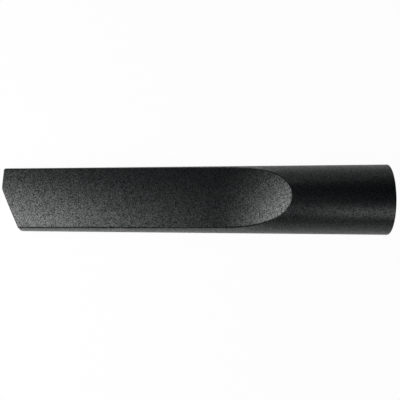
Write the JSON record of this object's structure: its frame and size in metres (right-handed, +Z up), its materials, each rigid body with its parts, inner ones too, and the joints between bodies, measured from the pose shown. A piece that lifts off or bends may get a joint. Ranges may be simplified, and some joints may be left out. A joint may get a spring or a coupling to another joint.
{
  "type": "vacuum crevice tool",
  "caption": "Flat tapered crevice nozzle with a raked mouth, running through hollow scoops into a round push-fit socket for a vacuum wand.",
  "frame": {"origin": "centre of the socket's rim", "axes": "+X towards the socket's rim, +Y across the broad faces towards the short side of the mouth, +Z up as the tool lies at rest on its nose and one heel"},
  "size_m": [0.2133, 0.039, 0.0425],
  "materials": {
    "black_plastic": "satin black with a fine moulded grain"
  },
  "bodies": {
    "root": {"crevice_tool": "black_plastic"}
  },
  "joints": []
}
